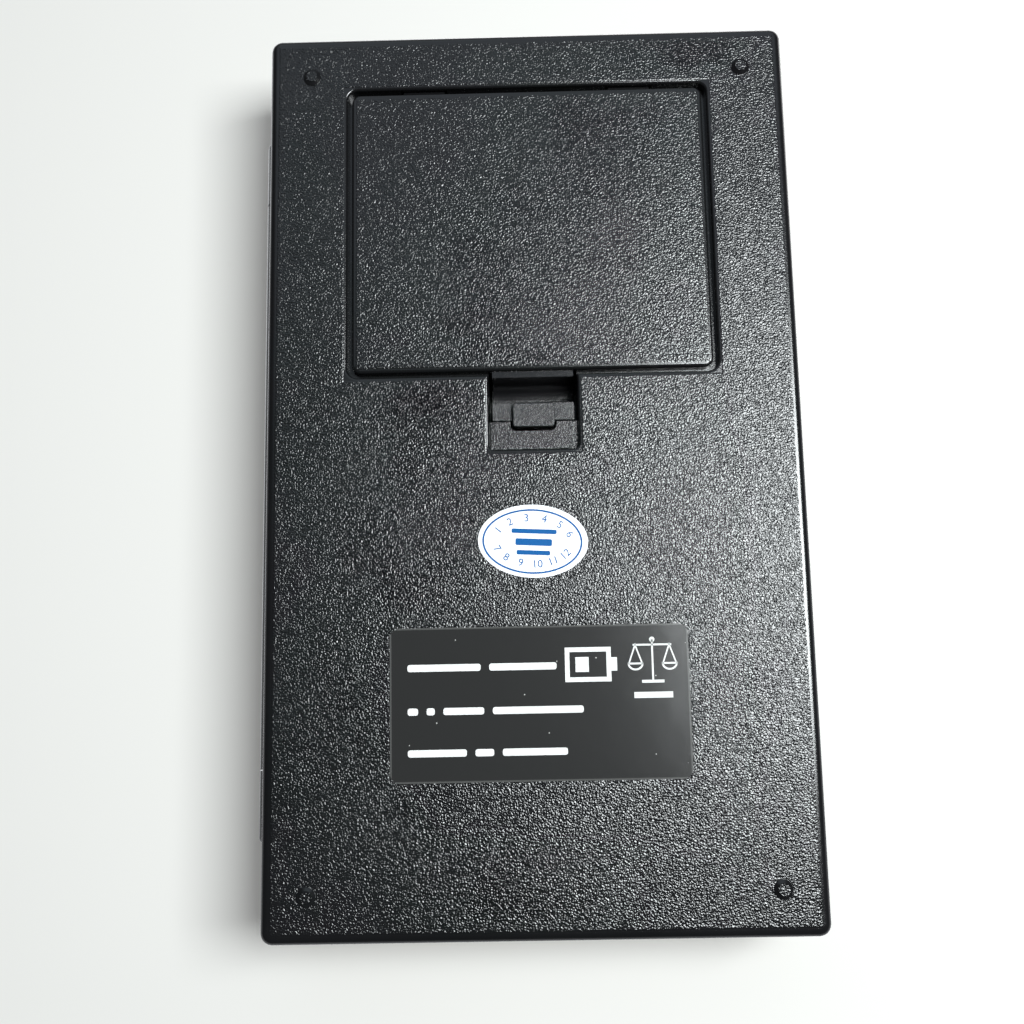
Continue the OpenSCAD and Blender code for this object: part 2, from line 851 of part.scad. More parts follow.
module platform_support() {
    x0 = beam_x0 + beam_l - post_l;
    color([0.15, 0.15, 0.16]) placed() difference() {
        union() {
            translate([0, plat_y, 0]) {
                plate(platform_w - 4, platform_l - 4, 2, support_z, support_z + support_t);
            }
            span(x0, x0 + post_l, beam_y - beam_w / 2, beam_y + beam_w / 2, beam_z + beam_h,
                support_z + 0.2);
        }
        for (i = [0, 1]) {
            post(beam_x0 + beam_l - beam_hole_in - i * beam_hole_pitch, beam_y, m3_r,
                beam_z, support_z + 0.5);
        }
    }
}

module load_cell() {
    mid_x = beam_x0 + beam_l / 2;
    color([0.75, 0.76, 0.78]) placed() difference() {
        span(beam_x0, beam_x0 + beam_l, beam_y - beam_w / 2, beam_y + beam_w / 2, beam_z,
            beam_z + beam_h);
        // Two joined bores thin the beam where the gauges sit.
        translate([mid_x, beam_y, beam_z + beam_h / 2]) rotate([90, 0, 0]) {
            translate([0, 0, -beam_w]) linear_extrude(2 * beam_w) {
                for (s = [-1, 1]) translate([s * 4.5, 0]) circle(2.3);
                square([9, 2], center = true);
            }
        }
        for (i = [0, 1], s = [0, 1]) {
            x = beam_hole_in + i * beam_hole_pitch;
            post(beam_x0 + (s > 0 ? beam_l - x : x), beam_y, m3_r + 0.1, beam_z - 1,
                beam_z + beam_h + 1);
        }
    }
}

module strain_gauges() {
    mid_x = beam_x0 + beam_l / 2;
    color([0.9, 0.88, 0.8]) placed() {
        span(mid_x - 8, mid_x + 8, beam_y - 4.5, beam_y + 4.5, beam_z + beam_h, beam_z + beam_h + 0.6);
        span(mid_x - 8, mid_x + 8, beam_y - 4.5, beam_y + 4.5, beam_z - 0.6, beam_z);
    }
}

module beam_base_screws() {
    color("silver") placed() {
        for (i = [0, 1]) {
            x = beam_x0 + beam_hole_in + i * beam_hole_pitch;
            translate([x, beam_y, beam_z + beam_h]) mirror([0, 0, 1]) {
                screw_up(2.7, 1.2, m3_r, beam_h + 3);
            }
        }
    }
}

module beam_platform_screws() {
    color("silver") placed() {
        for (i = [0, 1]) {
            x = beam_x0 + beam_l - beam_hole_in - i * beam_hole_pitch;
            translate([x, beam_y, beam_z]) screw_up(2.7, 1.2, m3_r, beam_h + 4);
        }
    }
}

module case_screws() {
    color("silver") placed() {
        case_screw_places() translate([0, 0, screw_seat_z]) {
            screw_up(screw_head_r, screw_head_h, screw_shank_r - 0.1, 8);
        }
    }
}

// ---------- wiring ----------

// Points of a wire along its smoothed route, and the direction it runs in at each.
function route_at(p, i) = p[max(0, min(len(p) - 1, i))];
function smooth(p, i, t) = 0.5 * (2 * route_at(p, i)
    + (route_at(p, i + 1) - route_at(p, i - 1)) * t
    + (2 * route_at(p, i - 1) - 5 * route_at(p, i) + 4 * route_at(p, i + 1)
        - route_at(p, i + 2)) * t * t
    + (3 * route_at(p, i) - route_at(p, i - 1) - 3 * route_at(p, i + 1)
        + route_at(p, i + 2)) * t * t * t);
function unit(v) = v / norm(v);

module wire(route, r) {
    steps = 4;
    sides = 8;
    count = (len(route) - 1) * steps;
    path = [for (k = [0 : count]) smooth(route, floor(k / steps), (k % steps) / steps)];
    points = [for (k = [0 : count]) let (
        run = unit(path[min(count, k + 1)] - path[max(0, k - 1)]),
        side = unit(cross(run, [1, 0, 0])),
        up = cross(side, run))
        for (a = [0 : sides - 1]) path[k]
            + r * (cos(360 * a / sides) * side + sin(360 * a / sides) * up)];
    skin = [for (k = [0 : count - 1], a = [0 : sides - 1]) [
        k * sides + a, k * sides + (a + 1) % sides,
        (k + 1) * sides + (a + 1) % sides, (k + 1) * sides + a]];
    start = [[for (a = [sides - 1 : -1 : 0]) a]];
    end = [[for (a = [0 : sides - 1]) count * sides + a]];
    polyhedron(points = points, faces = concat(skin, start, end), convexity = 6);
}

module battery_wires() {
    color("firebrick") placed() {
        wire([[27.4, -49.1, 12], [28, -47.4, 12], [29, -44, 10.8], [29, -38, 9], [28.6, -32, 8.4],
            [26.6, -29.6, 8.4], [25.2, -28.4, 9.2], [25.2, -28.2, 10.36]], 0.45);
        wire([[27.3, -38.2, 12], [27.5, -36.4, 12], [27.8, -34, 11.2], [27.4, -31.4, 10.2],
            [25.2, -29.6, 9.6], [23.5, -28.4, 9.6], [23.4, -28.2, 10.36]], 0.45);
    }
}

module sensor_wires() {
    color("ivory") placed() {
        for (i = [0 : 3]) {
            x = -4.4 - 1.05 * i;
            wire([[x, 31.45, 11.95], [x, 27, 11.9], [x - 1, 12, 11], [x - 1.5, 0, 10.9],
                [x - 2, -7, 11.8], [x - 2, -10.8, 11.75]], 0.3);
        }
    }
}

module board_ribbon() {
    ribbon_t = 0.15;
    x0 = -24;
    x1 = -14;
    y0 = cells_end + well_wall + 0.55;
    top_z = key_board_z + key_board_t;
    low_z = board_z + board_t;
    color("lightgrey") placed() {
        span(x0, x1, key_y + 7.5, y0 + ribbon_t, top_z + eps, top_z + ribbon_t);
        span(x0, x1, y0, y0 + ribbon_t, low_z + eps, top_z + ribbon_t);
        span(x0, x1, y0, y0 + 0.6, low_z + eps, low_z + ribbon_t);
    }
}

module placed() {
    translate([shift_x, 0, 0]) children();
}

bottom_case();
top_case();
lid();
hinge_pins();
battery_door();
door_latch();
battery_1();
battery_2();
battery_springs();
contact_bridge();
contact_plates();
rating_label();
inspection_sticker();
display_window();
lcd_glass();
lcd_backlight();
zebra_strip();
main_board();
key_board();
snap_domes();
scale_chip();
board_screws();
key_power();
key_mode();
key_tare();
key_pieces();
key_light();
weighing_platform();
platform_tape();
platform_support();
load_cell();
strain_gauges();
beam_base_screws();
beam_platform_screws();
case_screws();
battery_wires();
sensor_wires();
board_ribbon();
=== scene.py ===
"""Looks of the pocket scale: camera, materials, printing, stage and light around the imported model."""

import math

import bmesh
import bpy
from mathutils import Matrix, Vector


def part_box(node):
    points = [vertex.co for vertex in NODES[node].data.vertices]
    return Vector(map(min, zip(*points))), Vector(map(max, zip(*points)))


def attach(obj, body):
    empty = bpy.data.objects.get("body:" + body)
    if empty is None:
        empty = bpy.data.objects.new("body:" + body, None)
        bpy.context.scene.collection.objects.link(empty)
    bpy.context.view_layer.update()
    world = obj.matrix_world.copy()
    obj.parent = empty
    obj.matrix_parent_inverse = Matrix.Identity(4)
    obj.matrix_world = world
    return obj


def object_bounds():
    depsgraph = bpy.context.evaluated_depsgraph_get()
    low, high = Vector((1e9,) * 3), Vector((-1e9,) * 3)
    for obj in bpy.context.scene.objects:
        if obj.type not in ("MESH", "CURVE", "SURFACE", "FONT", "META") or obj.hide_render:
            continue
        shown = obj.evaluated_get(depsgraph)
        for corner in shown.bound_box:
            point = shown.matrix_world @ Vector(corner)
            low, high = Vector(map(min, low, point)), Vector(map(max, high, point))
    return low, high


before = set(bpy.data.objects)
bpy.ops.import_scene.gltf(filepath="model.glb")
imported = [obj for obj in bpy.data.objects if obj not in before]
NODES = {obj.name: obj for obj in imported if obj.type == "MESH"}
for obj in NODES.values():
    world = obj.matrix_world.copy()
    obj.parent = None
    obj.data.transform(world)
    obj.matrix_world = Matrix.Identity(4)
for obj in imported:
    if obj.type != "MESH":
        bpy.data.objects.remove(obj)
CAD_LOW, CAD_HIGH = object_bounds()

# ---------- driving dimensions, in metres ----------

MM = 0.001
BODY_W = 75 * MM                      # the case without its hinge barrel
EDGE_R = 1.2 * MM                     # rounded edge all round the case
FOOT_H = 0.5 * MM                     # the feet stand this far below the underside
BODY_X = CAD_HIGH.x - BODY_W / 2      # the case's middle; the barrel stands out on -X only
HALF_L = CAD_HIGH.y
TOP_Z = CAD_HIGH.z

# The camera looks from below at the underside, as at a scale that lies on its cover.
EYE = Vector((BODY_X - 1.53 * MM, 29.6 * MM, -150.5 * MM))
AIM = Vector((BODY_X - 3.26 * MM, 7.2 * MM, FOOT_H))
ROLL = math.radians(1.1)
LENS = 38.95
SENSOR = 36


def make_camera():
    data = bpy.data.cameras.new("photo_camera")
    data.lens = LENS
    data.sensor_width = SENSOR
    data.clip_start = 5 * MM
    data.clip_end = 20
    camera = bpy.data.objects.new("photo_camera", data)
    bpy.context.scene.collection.objects.link(camera)
    ahead = (AIM - EYE).normalized()
    right = ahead.cross(Vector((math.sin(ROLL), -math.cos(ROLL), 0))).normalized()
    up = right.cross(ahead)
    turn = Matrix((right, up, -ahead)).transposed()
    camera.matrix_world = Matrix.Translation(EYE) @ turn.to_4x4()
    bpy.context.scene.camera = camera


make_camera()

# ---------- node graphs ----------


class Graph:
    """A material's nodes, with short calls for the ones used here. Lengths in a graph are millimetres."""

    def __init__(self, name):
        self.material = bpy.data.materials.new(name)
        self.material.use_nodes = True
        self.nodes = self.material.node_tree.nodes
        self.links = self.material.node_tree.links
        self.shader = self.nodes["Principled BSDF"]
        self.output = self.nodes["Material Output"]

    def node(self, kind, **settings):
        made = self.nodes.new("ShaderNode" + kind)
        for key, value in settings.items():
            setattr(made, key, value)
        return made

    def feed(self, socket, value):
        if isinstance(value, bpy.types.NodeSocket):
            self.links.new(value, socket)
        else:
            socket.default_value = value

    def set(self, **inputs):
        """Shader inputs by name, with _ for a space."""
        for key, value in inputs.items():
            self.feed(self.shader.inputs[key.replace("_", " ")], value)

    def math(self, operation, *values):
        made = self.node("Math", operation=operation)
        for socket, value in zip(made.inputs, values):
            self.feed(socket, value)
        return made.outputs[0]

    def product(self, *values):
        found = values[0]
        for value in values[1:]:
            found = self.math("MULTIPLY", found, value)
        return found

    def varied(self, middle, texture, reach):
        """A value raised by up to reach where the texture is high."""
        return self.math("ADD", middle, self.product(texture, reach))

    def ramp(self, value, low, high, out_low=0.0, out_high=1.0):
        made = self.node("MapRange", interpolation_type="SMOOTHSTEP")
        for socket, number in zip(made.inputs, (value, low, high, out_low, out_high)):
            self.feed(socket, number)
        return made.outputs[0]

    def mix(self, share, a, b):
        made = self.node("Mix", data_type="RGBA")
        self.feed(made.inputs["Factor"], share)
        self.feed(made.inputs[6], a)
        self.feed(made.inputs[7], b)
        return made.outputs[2]

    def place(self, stretch=(1, 1, 1)):
        """The piece's own coordinates in millimetres, which ride with it."""
        coordinates = self.node("TexCoord").outputs["Object"]
        made = self.node("Mapping")
        self.feed(made.inputs["Vector"], coordinates)
        made.inputs["Scale"].default_value = [share / MM for share in stretch]
        return made.outputs[0]

    def split(self, vector):
        made = self.node("SeparateXYZ")
        self.feed(made.inputs[0], vector)
        return tuple(made.outputs)

    def noise(self, vector, scale, detail=2.0, roughness=0.5, distortion=0.0):
        made = self.node("TexNoise")
        self.feed(made.inputs["Vector"], vector)
        made.inputs["Scale"].default_value = scale
        made.inputs["Detail"].default_value = detail
        made.inputs["Roughness"].default_value = roughness
        made.inputs["Distortion"].default_value = distortion
        return made.outputs[0]

    def bump(self, height, distance, under=None):
        """Bump whose height of 1 stands distance millimetres high."""
        made = self.node("Bump")
        self.feed(made.inputs["Height"], height)
        made.inputs["Distance"].default_value = distance * MM
        if under is not None:
            self.feed(made.inputs["Normal"], under)
        return made.outputs[0]

    def dust(self, place, scale, size):
        """Sparse small specks: 1 on a speck and 0 elsewhere."""
        made = self.node("TexVoronoi")
        self.feed(made.inputs["Vector"], place)
        made.inputs["Scale"].default_value = scale
        return self.ramp(made.outputs["Distance"], size, size * 0.6)


def shaded(colour, share):
    return tuple(c * share for c in colour[:3]) + (1,)


# ---------- plastics ----------

BLACK = (0.0045, 0.0046, 0.005, 1)
WORN_BLACK = (0.006, 0.006, 0.0065, 1)
GREY_DUST = (0.30, 0.30, 0.29, 1)
GRAIN_GLOSS = 0.12                    # roughness of the shiny tops of the grain
GRAIN_DEPTH = 0.105                   # millimetres, as are the next four
FACE_DEPTH = 0.40                     # the grain ends this deep inside the outer faces
FOOT_END = 0.06                       # and comes back this close to the table
SMOOTH_BAND = 0.38                    # width of the smooth band round each recess
POCKET_LIP = -0.3                     # the pocket's coarse floor starts inside its walls


def half_and_offset(g, value, a, b):
    """Half the distance between two planes, and how far a point is from their middle, in millimetres."""
    a, b = a / MM, b / MM
    return (b - a) / 2, g.math("ABSOLUTE", g.math("SUBTRACT", value, (a + b) / 2))


def distances_inside(g, place, low, high):
    """How far a point lies inside each pair of a box's sides; low and high are in metres."""
    pairs = [half_and_offset(g, value, a, b) for value, a, b in zip(g.split(place), low, high)]
    return [g.math("SUBTRACT", half, off) for half, off in pairs]


def flat_faces(g, place, low, high, edge):
    """1 on a box's flat outer faces, 0 along its rounded edges and on anything deeper inside it."""
    a, b, c = distances_inside(g, place, low, high)
    larger = g.math("MAXIMUM", a, b)
    smaller = g.math("MINIMUM", a, b)
    least = g.math("MINIMUM", smaller, c)
    middle = g.math("MAXIMUM", smaller, g.math("MINIMUM", larger, c))
    inside = g.product(g.ramp(least, -0.08, -0.04), g.ramp(least, FACE_DEPTH, FACE_DEPTH * 0.8))
    return g.product(inside, g.ramp(middle, edge, edge + 0.35))


def outside_rectangle(g, place, low, high, lip):
    """1 where a point is more than lip millimetres outside a rectangle in plan."""
    pairs = [half_and_offset(g, value, a, b) for value, a, b in zip(g.split(place)[:2], low, high)]
    gaps = [g.math("SUBTRACT", off, half) for half, off in pairs]
    return g.ramp(g.math("MAXIMUM", *gaps), lip, lip + 0.25)


def moulded_grain(g, place):
    """Height of the spark-eroded grain: short winding ridges about a quarter of a millimetre apart."""
    return g.noise(place, 4.2, 0.5, 0.5, 0.4)


def case_plastic(name, low, high, edge, recesses=(), pocket=None, feet=False):
    """Black plastic, grained on the flat faces of a box, smooth on its edges and round its recesses."""
    g = Graph(name)
    place = g.place()
    mask = flat_faces(g, place, low, high, edge)
    for recess_low, recess_high in recesses:
        mask = g.product(mask, outside_rectangle(g, place, recess_low, recess_high, SMOOTH_BAND))
    if feet:
        # The flat ends of the feet are grained too; the cone round each end is smooth.
        mask = g.math("MAXIMUM", mask, g.ramp(g.split(place)[2], FOOT_END, FOOT_END / 3))
    fine = g.product(g.noise(place, 6.5, 2.0, 0.6), g.math("SUBTRACT", 1.0, mask))
    normal = g.bump(fine, 0.012)
    if pocket:
        inside = g.math("SUBTRACT", 1.0, outside_rectangle(g, place, *pocket, POCKET_LIP))
        normal = g.bump(g.product(g.noise(place, 3.6, 2.0, 0.6), inside), 0.14, normal)
    normal = g.bump(g.product(moulded_grain(g, place), mask), GRAIN_DEPTH, normal)
    tint = g.mix(g.ramp(g.noise(place, 0.05, 3.0), 0.35, 0.7), BLACK, WORN_BLACK)
    specks = g.product(g.dust(place, 0.16, 0.035), 0.35)
    g.set(Base_Color=g.mix(specks, tint, GREY_DUST), Normal=normal, IOR=1.52)
    g.set(Roughness=g.varied(GRAIN_GLOSS, g.noise(place, 1.3, 2.0), 0.10))
    return g.material


def fine_plastic(name, colour, depth=0.03, scale=4.0, rough=0.42):
    """Moulded plastic with a fine matt texture."""
    g = Graph(name)
    place = g.place()
    texture = g.noise(place, scale, 3.0, 0.65)
    patches = g.ramp(g.noise(place, 0.12, 3.0), 0.3, 0.75)
    lighter = tuple(c * 1.25 + 0.002 for c in colour[:3]) + (1,)
    specks = g.product(g.dust(place, 0.2, 0.04), 0.25)
    g.set(Base_Color=g.mix(specks, g.mix(patches, colour, lighter), GREY_DUST))
    g.set(Normal=g.bump(texture, depth), Roughness=g.varied(rough, texture, 0.12), IOR=1.5)
    return g.material


# ---------- metals ----------


def metal(name, colour, rough, stretch=(1, 1, 1), scale=3.0, depth=0.004):
    """Metal whose fine lines run along the axis with the smallest stretch."""
    g = Graph(name)
    lines = g.noise(g.place(stretch), scale, 4.0, 0.7)
    cloud = g.ramp(g.noise(g.place(), 0.09, 4.0), 0.35, 0.75)
    tarnish = g.math("ADD", g.product(cloud, 0.5), g.product(lines, 0.3))
    g.set(Base_Color=g.mix(tarnish, colour, shaded(colour, 0.78)), Metallic=1.0)
    g.set(Normal=g.bump(lines, depth), Roughness=g.varied(rough, lines, 0.16))
    return g.material


# ---------- cells, boards and small parts ----------

# Lengths along a cell from its flat end, in millimetres.
FLAT_CAP = 0.55
PALE_LINE = 29.6
GOLD_BAND = 31.0
BUTTON_CAP = 1.6                      # from the other end


def cell_wrap(name, node, flipped):
    """Printed film over a steel can: dark at the flat end, gold at the other, with bare metal caps."""
    g = Graph(name)
    low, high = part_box(node)
    length = (high.x - low.x) / MM
    place = g.place()
    x = g.split(place)[0]
    along = g.math("SUBTRACT", high.x / MM, x) if flipped else g.math("SUBTRACT", x, low.x / MM)
    gold = (0.62, 0.36, 0.10, 1)
    dark = (0.012, 0.012, 0.014, 1)
    pale = (0.75, 0.75, 0.74, 1)
    steel = (0.66, 0.66, 0.64, 1)
    line_end = PALE_LINE + 0.9
    line = g.product(g.ramp(along, PALE_LINE, PALE_LINE + 0.1), g.ramp(along, line_end, line_end - 0.1))
    film = g.mix(line, g.mix(g.ramp(along, GOLD_BAND, GOLD_BAND + 0.1), dark, gold), pale)
    button = length - BUTTON_CAP
    bare = g.math("MAXIMUM", g.ramp(along, FLAT_CAP + 0.07, FLAT_CAP), g.ramp(along, button, button + 0.1))
    g.set(Base_Color=g.mix(bare, film, steel))
    g.set(Metallic=g.math("MAXIMUM", bare, g.ramp(along, GOLD_BAND, GOLD_BAND + 0.1, 0.0, 0.85)))
    g.set(Roughness=g.varied(0.22, g.noise(place, 2.0, 3.0), 0.14))
    g.set(Normal=g.bump(g.noise(g.place((0.3, 3, 3)), 1.2, 2.0), 0.006))
    g.set(Coat_Weight=0.4, Coat_Roughness=0.08)
    return g.material


def circuit_board(name):
    """Green solder mask over copper tracks."""
    g = Graph(name)
    lanes = g.math("FRACT", g.product(g.noise(g.place((0.25, 1.6, 1)), 0.9, 1.0), 9.0))
    tracks = g.ramp(g.math("ABSOLUTE", g.math("SUBTRACT", lanes, 0.5)), 0.12, 0.17)
    g.set(Base_Color=g.mix(tracks, (0.03, 0.20, 0.08, 1), (0.012, 0.10, 0.045, 1)))
    g.set(Roughness=g.varied(0.26, g.noise(g.place(), 3.0, 2.0), 0.1), Normal=g.bump(tracks, 0.03))
    g.set(Coat_Weight=0.5, Coat_Roughness=0.12)
    return g.material


def soft_stuff(name, colour, rough=0.6, scale=2.5, depth=0.05):
    """Rubber, foam, sealant and insulation."""
    g = Graph(name)
    lumps = g.noise(g.place(), scale, 4.0, 0.6)
    g.set(Base_Color=g.mix(g.ramp(lumps, 0.3, 0.7), shaded(colour, 0.8), colour))
    g.set(Normal=g.bump(lumps, depth), Roughness=g.varied(rough, lumps, 0.15))
    return g.material


def layered_rubber(name):
    """Thin black and pale layers side by side along X."""
    g = Graph(name)
    band = g.ramp(g.math("FRACT", g.product(g.split(g.place())[0], 5.0)), 0.45, 0.55)
    g.set(Base_Color=g.mix(band, (0.02, 0.02, 0.02, 1), (0.55, 0.55, 0.58, 1)), Roughness=0.55)
    return g.material


def clear_window(name):
    """Clear acrylic with a few hairline scratches."""
    g = Graph(name)
    hairs = g.ramp(g.noise(g.place((0.25, 5, 1)), 1.1, 2.0), 0.62, 0.72)
    g.set(Base_Color=(0.94, 0.96, 0.97, 1), Transmission_Weight=1.0, IOR=1.49)
    g.set(Roughness=g.varied(0.015, hairs, 0.08), Normal=g.bump(g.noise(g.place(), 0.6, 1.0), 0.004))
    return g.material


def lcd_face(name, node):
    """Grey-green reflective display behind glass, with a dark mask round its edge."""
    g = Graph(name)
    place = g.place()
    a, b, _ = distances_inside(g, place, *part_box(node))
    margin = g.ramp(g.math("MINIMUM", a, b), 1.9, 1.95)
    mottled = g.mix(g.noise(place, 9.0, 2.0), (0.23, 0.26, 0.21, 1), (0.28, 0.31, 0.25, 1))
    g.set(Base_Color=g.mix(margin, (0.03, 0.03, 0.032, 1), mottled))
    g.set(Roughness=g.varied(0.16, g.noise(place, 5.0, 2.0), 0.08))
    g.set(Normal=g.bump(g.noise(place, 7.0, 2.0), 0.006))
    g.set(Coat_Weight=0.8, Coat_Roughness=0.04)
    return g.material


def label_film(name, node):
    """Black film, slightly creased, with fine dust on it and a thin paler edge."""
    g = Graph(name)
    place = g.place()
    waves = g.noise(place, 0.22, 2.0)
    texture = g.noise(place, 5.5, 3.0, 0.6)
    specks = g.math("MAXIMUM", g.dust(place, 0.45, 0.05), g.dust(g.place((1.3, 0.9, 1)), 0.33, 0.035))
    a, b, _ = distances_inside(g, place, *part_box(node))
    edge = g.ramp(g.math("MINIMUM", a, b), 0.28, 0.18)
    pale = g.math("MAXIMUM", specks, g.product(edge, 0.10))
    g.set(Base_Color=g.mix(pale, (0.020, 0.020, 0.0198, 1), (0.45, 0.45, 0.43, 1)))
    g.set(Normal=g.bump(texture, 0.002, g.bump(waves, 0.02)))
    g.set(Roughness=g.varied(0.14, texture, 0.08), IOR=1.28)
    return g.material


def sticker_paper(name):
    g = Graph(name)
    fibres = g.noise(g.place(), 4.0, 5.0, 0.65)
    g.set(Base_Color=g.mix(fibres, (0.74, 0.75, 0.77, 1), (0.66, 0.67, 0.70, 1)))
    g.set(Normal=g.bump(fibres, 0.012), Roughness=g.varied(0.38, fibres, 0.12))
    return g.material


def ink(name, colour, rough=0.45):
    """Printed ink that lets a little of the surface's unevenness through."""
    g = Graph(name)
    worn = g.ramp(g.noise(g.place(), 3.2, 4.0, 0.7), 0.25, 0.55)
    g.set(Base_Color=g.mix(worn, shaded(colour, 0.82), colour), Normal=g.bump(worn, 0.006))
    g.set(Roughness=g.varied(rough, worn, 0.08), IOR=1.2)
    return g.material


# ---------- the CAD nodes' materials ----------

DOOR_GAP = 0.65 * MM
LATCH_LEG = 2.71 * MM                 # the door's latch strip reaches this far past its plate
TAB_REACH = 1.45 * MM                 # and its tabs this far past the other edge
DOOR_DEPTH = 2 * MM
DOOR_EDGE = 0.5                       # millimetres
POCKET_HALF_W = 6.25 * MM
POCKET_L = 10.75 * MM

case_low = Vector((BODY_X - BODY_W / 2, -HALF_L, FOOT_H))
case_high = Vector((BODY_X + BODY_W / 2, HALF_L, TOP_Z))
door_low, door_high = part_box("battery_door")
plate_low = Vector((door_low.x, door_low.y + TAB_REACH, FOOT_H))
plate_high = Vector((door_high.x, door_high.y - LATCH_LEG, 1 + DOOR_DEPTH))   # far above, so no top face
bay_low = (plate_low.x - DOOR_GAP, plate_low.y - DOOR_GAP)
bay_high = (plate_high.x + DOOR_GAP, plate_high.y + DOOR_GAP)
pocket_low = (BODY_X - POCKET_HALF_W, bay_high[1] - 1 * MM)
pocket_high = (BODY_X + POCKET_HALF_W, bay_high[1] + POCKET_L)


def dress(names, material):
    for name in names.split():
        node = NODES[name]
        node.data.materials.clear()
        node.data.materials.append(material)


dress("bottom_case", case_plastic("case_black", case_low, case_high, EDGE_R / MM,
                                  [(bay_low, bay_high), (pocket_low, pocket_high)],
                                  (pocket_low, pocket_high), feet=True))
dress("lid", case_plastic("cover_black", case_low, case_high, EDGE_R / MM))
dress("battery_door", case_plastic("door_black", plate_low, plate_high, DOOR_EDGE))
dress("door_latch", fine_plastic("latch_black", WORN_BLACK, 0.12, 3.4, 0.16))
dress("top_case", fine_plastic("deck_grey", (0.030, 0.031, 0.033, 1), 0.035, 3.2, 0.38))
dress("platform_support", fine_plastic("support_grey", (0.10, 0.10, 0.105, 1)))
dress("key_power key_mode key_tare key_pieces key_light",
      fine_plastic("key_grey", (0.26, 0.27, 0.285, 1), 0.015, 5.0, 0.34))
dress("hinge_pins", metal("pin_steel", (0.60, 0.60, 0.61, 1), 0.22, (4, 0.2, 4)))
dress("weighing_platform", metal("platform_steel", (0.68, 0.672, 0.655, 1), 0.20, (0.03, 1.3, 1), 2.4, 0.012))
dress("board_screws case_screws beam_base_screws beam_platform_screws",
      metal("zinc_plate", (0.52, 0.52, 0.50, 1), 0.28))
dress("battery_springs contact_bridge contact_plates",
      metal("nickel_plate", (0.70, 0.68, 0.64, 1), 0.16))
dress("snap_domes", metal("dome_steel", (0.68, 0.66, 0.60, 1), 0.20))
dress("load_cell", metal("milled_aluminium", (0.78, 0.79, 0.80, 1), 0.3, (3, 0.1, 0.6)))
dress("battery_1", cell_wrap("cell_film", "battery_1", False))
dress("battery_2", cell_wrap("cell_film_turned", "battery_2", True))
dress("main_board key_board", circuit_board("solder_mask"))
dress("scale_chip", soft_stuff("chip_epoxy", (0.014, 0.014, 0.015, 1), 0.25, 1.2, 0.08))
dress("strain_gauges", soft_stuff("gauge_sealant", (0.78, 0.76, 0.68, 1), 0.45))
dress("platform_tape", soft_stuff("foam_tape", (0.84, 0.84, 0.80, 1), 0.7, 6.0, 0.1))
dress("battery_wires", soft_stuff("wire_red", (0.50, 0.03, 0.02, 1), 0.35, 0.8, 0.02))
dress("sensor_wires", soft_stuff("wire_white", (0.72, 0.71, 0.66, 1), 0.35, 0.8, 0.02))
dress("board_ribbon", soft_stuff("ribbon_film", (0.62, 0.62, 0.58, 1), 0.4, 1.0, 0.02))
dress("zebra_strip", layered_rubber("zebra_rubber"))
dress("lcd_backlight", soft_stuff("light_guide", (0.78, 0.84, 0.90, 1), 0.3, 0.6, 0.02))
dress("lcd_glass", lcd_face("lcd_face", "lcd_glass"))
dress("display_window", clear_window("clear_acrylic"))
dress("rating_label", label_film("label_black_film", "rating_label"))
dress("inspection_sticker", sticker_paper("sticker_white_paper"))

# ---------- printing ----------

PRINT_T = 0.012                       # thickness of the ink, in millimetres


